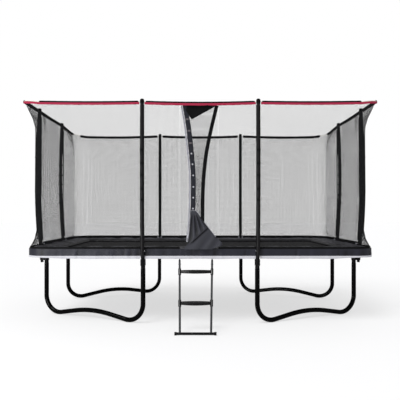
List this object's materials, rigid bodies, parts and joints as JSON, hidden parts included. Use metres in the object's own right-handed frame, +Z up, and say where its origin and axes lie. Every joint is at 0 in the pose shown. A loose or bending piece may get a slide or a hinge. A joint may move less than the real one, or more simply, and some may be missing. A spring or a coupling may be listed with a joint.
{
  "type": "rectangular trampoline",
  "caption": "Large rectangular garden trampoline on bent tube legs, with a tall mesh safety net, spring pad, zipped entrance and hook-on ladder.",
  "frame": {"origin": "on the ground, at the middle of the whole part's footprint, which is 0.2125 m in front of the middle of the trampoline because the ladder stands out at the front", "axes": "+X along the long side, to the right as seen from the ladder; +Y from the ladder side to the rear; +Z up"},
  "size_m": [4.5168, 3.1124, 2.806],
  "materials": {
    "black_powder_coat": "satin powder coat",
    "gloss_black_tube": "gloss powder coat",
    "dark_grey_tube": "semi-gloss",
    "zinc_steel": "zinc plated",
    "foam_cover": "coated foam sleeve",
    "black_plastic": "moulded",
    "grey_plastic": "moulded",
    "glass_fibre_rod": "pultruded",
    "black_webbing": "woven webbing",
    "crimson_tape": "woven tape",
    "grey_tape": "zip tape",
    "net_mesh": "knitted mesh",
    "slate_fabric": "coated cloth",
    "mat_weave": "woven polypropylene",
    "pad_cover": "coated cloth over foam",
    "skirt_fabric": "coated cloth",
    "pale_trim": "bias tape",
    "rubber_cap": "moulded"
  },
  "bodies": {
    "trampoline": {"frame_corner_fl": "black_powder_coat", "frame_corner_fr": "black_powder_coat", "frame_corner_rl": "black_powder_coat", "frame_corner_rr": "black_powder_coat", "frame_rail_front": "black_powder_coat", "frame_rail_rear": "black_powder_coat", "frame_rail_left": "black_powder_coat", "frame_rail_right": "black_powder_coat", "tee_connectors": "black_powder_coat", "tee_screws": "zinc_steel", "leg_fl": "gloss_black_tube", "leg_fr": "gloss_black_tube", "leg_rl": "gloss_black_tube", "leg_rr": "gloss_black_tube", "poles_long": "black_powder_coat", "poles_short": "black_powder_coat", "foam_sleeves": "foam_cover", "pole_caps": "black_plastic", "pole_clamps": "black_plastic", "clamp_bolts": "zinc_steel", "ring_rods": "glass_fibre_rod", "net_top_sleeve": "black_webbing", "net_top_band": "crimson_tape", "net_front": "net_mesh", "net_rear": "net_mesh", "net_left": "net_mesh", "net_right": "net_mesh", "net_corners": "net_mesh", "net_pole_bands": "black_webbing", "net_pole_straps": "black_webbing", "net_bottom_hem": "black_webbing", "entrance_zip_tape": "grey_tape", "entrance_strip_left": "slate_fabric", "entrance_strip_right": "black_webbing", "entrance_gusset": "black_webbing", "entrance_apron": "slate_fabric", "entrance_buckles": "grey_plastic", "springs_front": "zinc_steel", "springs_rear": "zinc_steel", "springs_left": "zinc_steel", "springs_right": "zinc_steel", "pad_front": "pad_cover", "pad_rear": "pad_cover", "pad_left": "pad_cover", "pad_right": "pad_cover", "pad_skirt": "skirt_fabric", "skirt_hem": "pale_trim"},
    "jumping_mat": {"mat": "mat_weave", "mat_hem": "black_webbing", "mat_rings": "zinc_steel"},
    "ladder": {"ladder_stiles": "dark_grey_tube", "ladder_hooks": "black_powder_coat", "ladder_bolts": "zinc_steel", "ladder_step_upper": "black_plastic", "ladder_step_lower": "black_plastic", "ladder_foot_bar": "black_powder_coat", "ladder_foot_caps": "rubber_cap"},
    "entrance_panel": {"entrance_flap": "net_mesh"},
    "zip_puller": {"zip_slider": "zinc_steel"}
  },
  "joints": [
    {"name": "mat_bounce", "type": "slide", "parent": "trampoline", "child": "jumping_mat", "axis": [0, 0, 1], "range_m": [-0.2, 0], "stiffness_N_per_m": 9000, "springref_m": 0.02, "deforming": ["springs_front", "springs_rear", "springs_left", "springs_right"]},
    {"name": "ladder_swing", "type": "hinge", "parent": "trampoline", "child": "ladder", "pos_m": [-0.053, -0.9825, 0.87], "axis": [-1, 0, 0], "range_deg": [0, 15]},
    {"name": "entrance_swing", "type": "hinge", "parent": "trampoline", "child": "entrance_panel", "pos_m": [-0.246, -1.0231, 1.8], "axis": [0, 0, 1], "range_deg": [0, 75], "stiffness_Nm_per_rad": 0.3, "springref_deg": -11.46},
    {"name": "zip_slide", "type": "slide", "parent": "trampoline", "child": "zip_puller", "axis": [0.0643, 0, 0.9979], "range_m": [0, 0.45]}
  ]
}
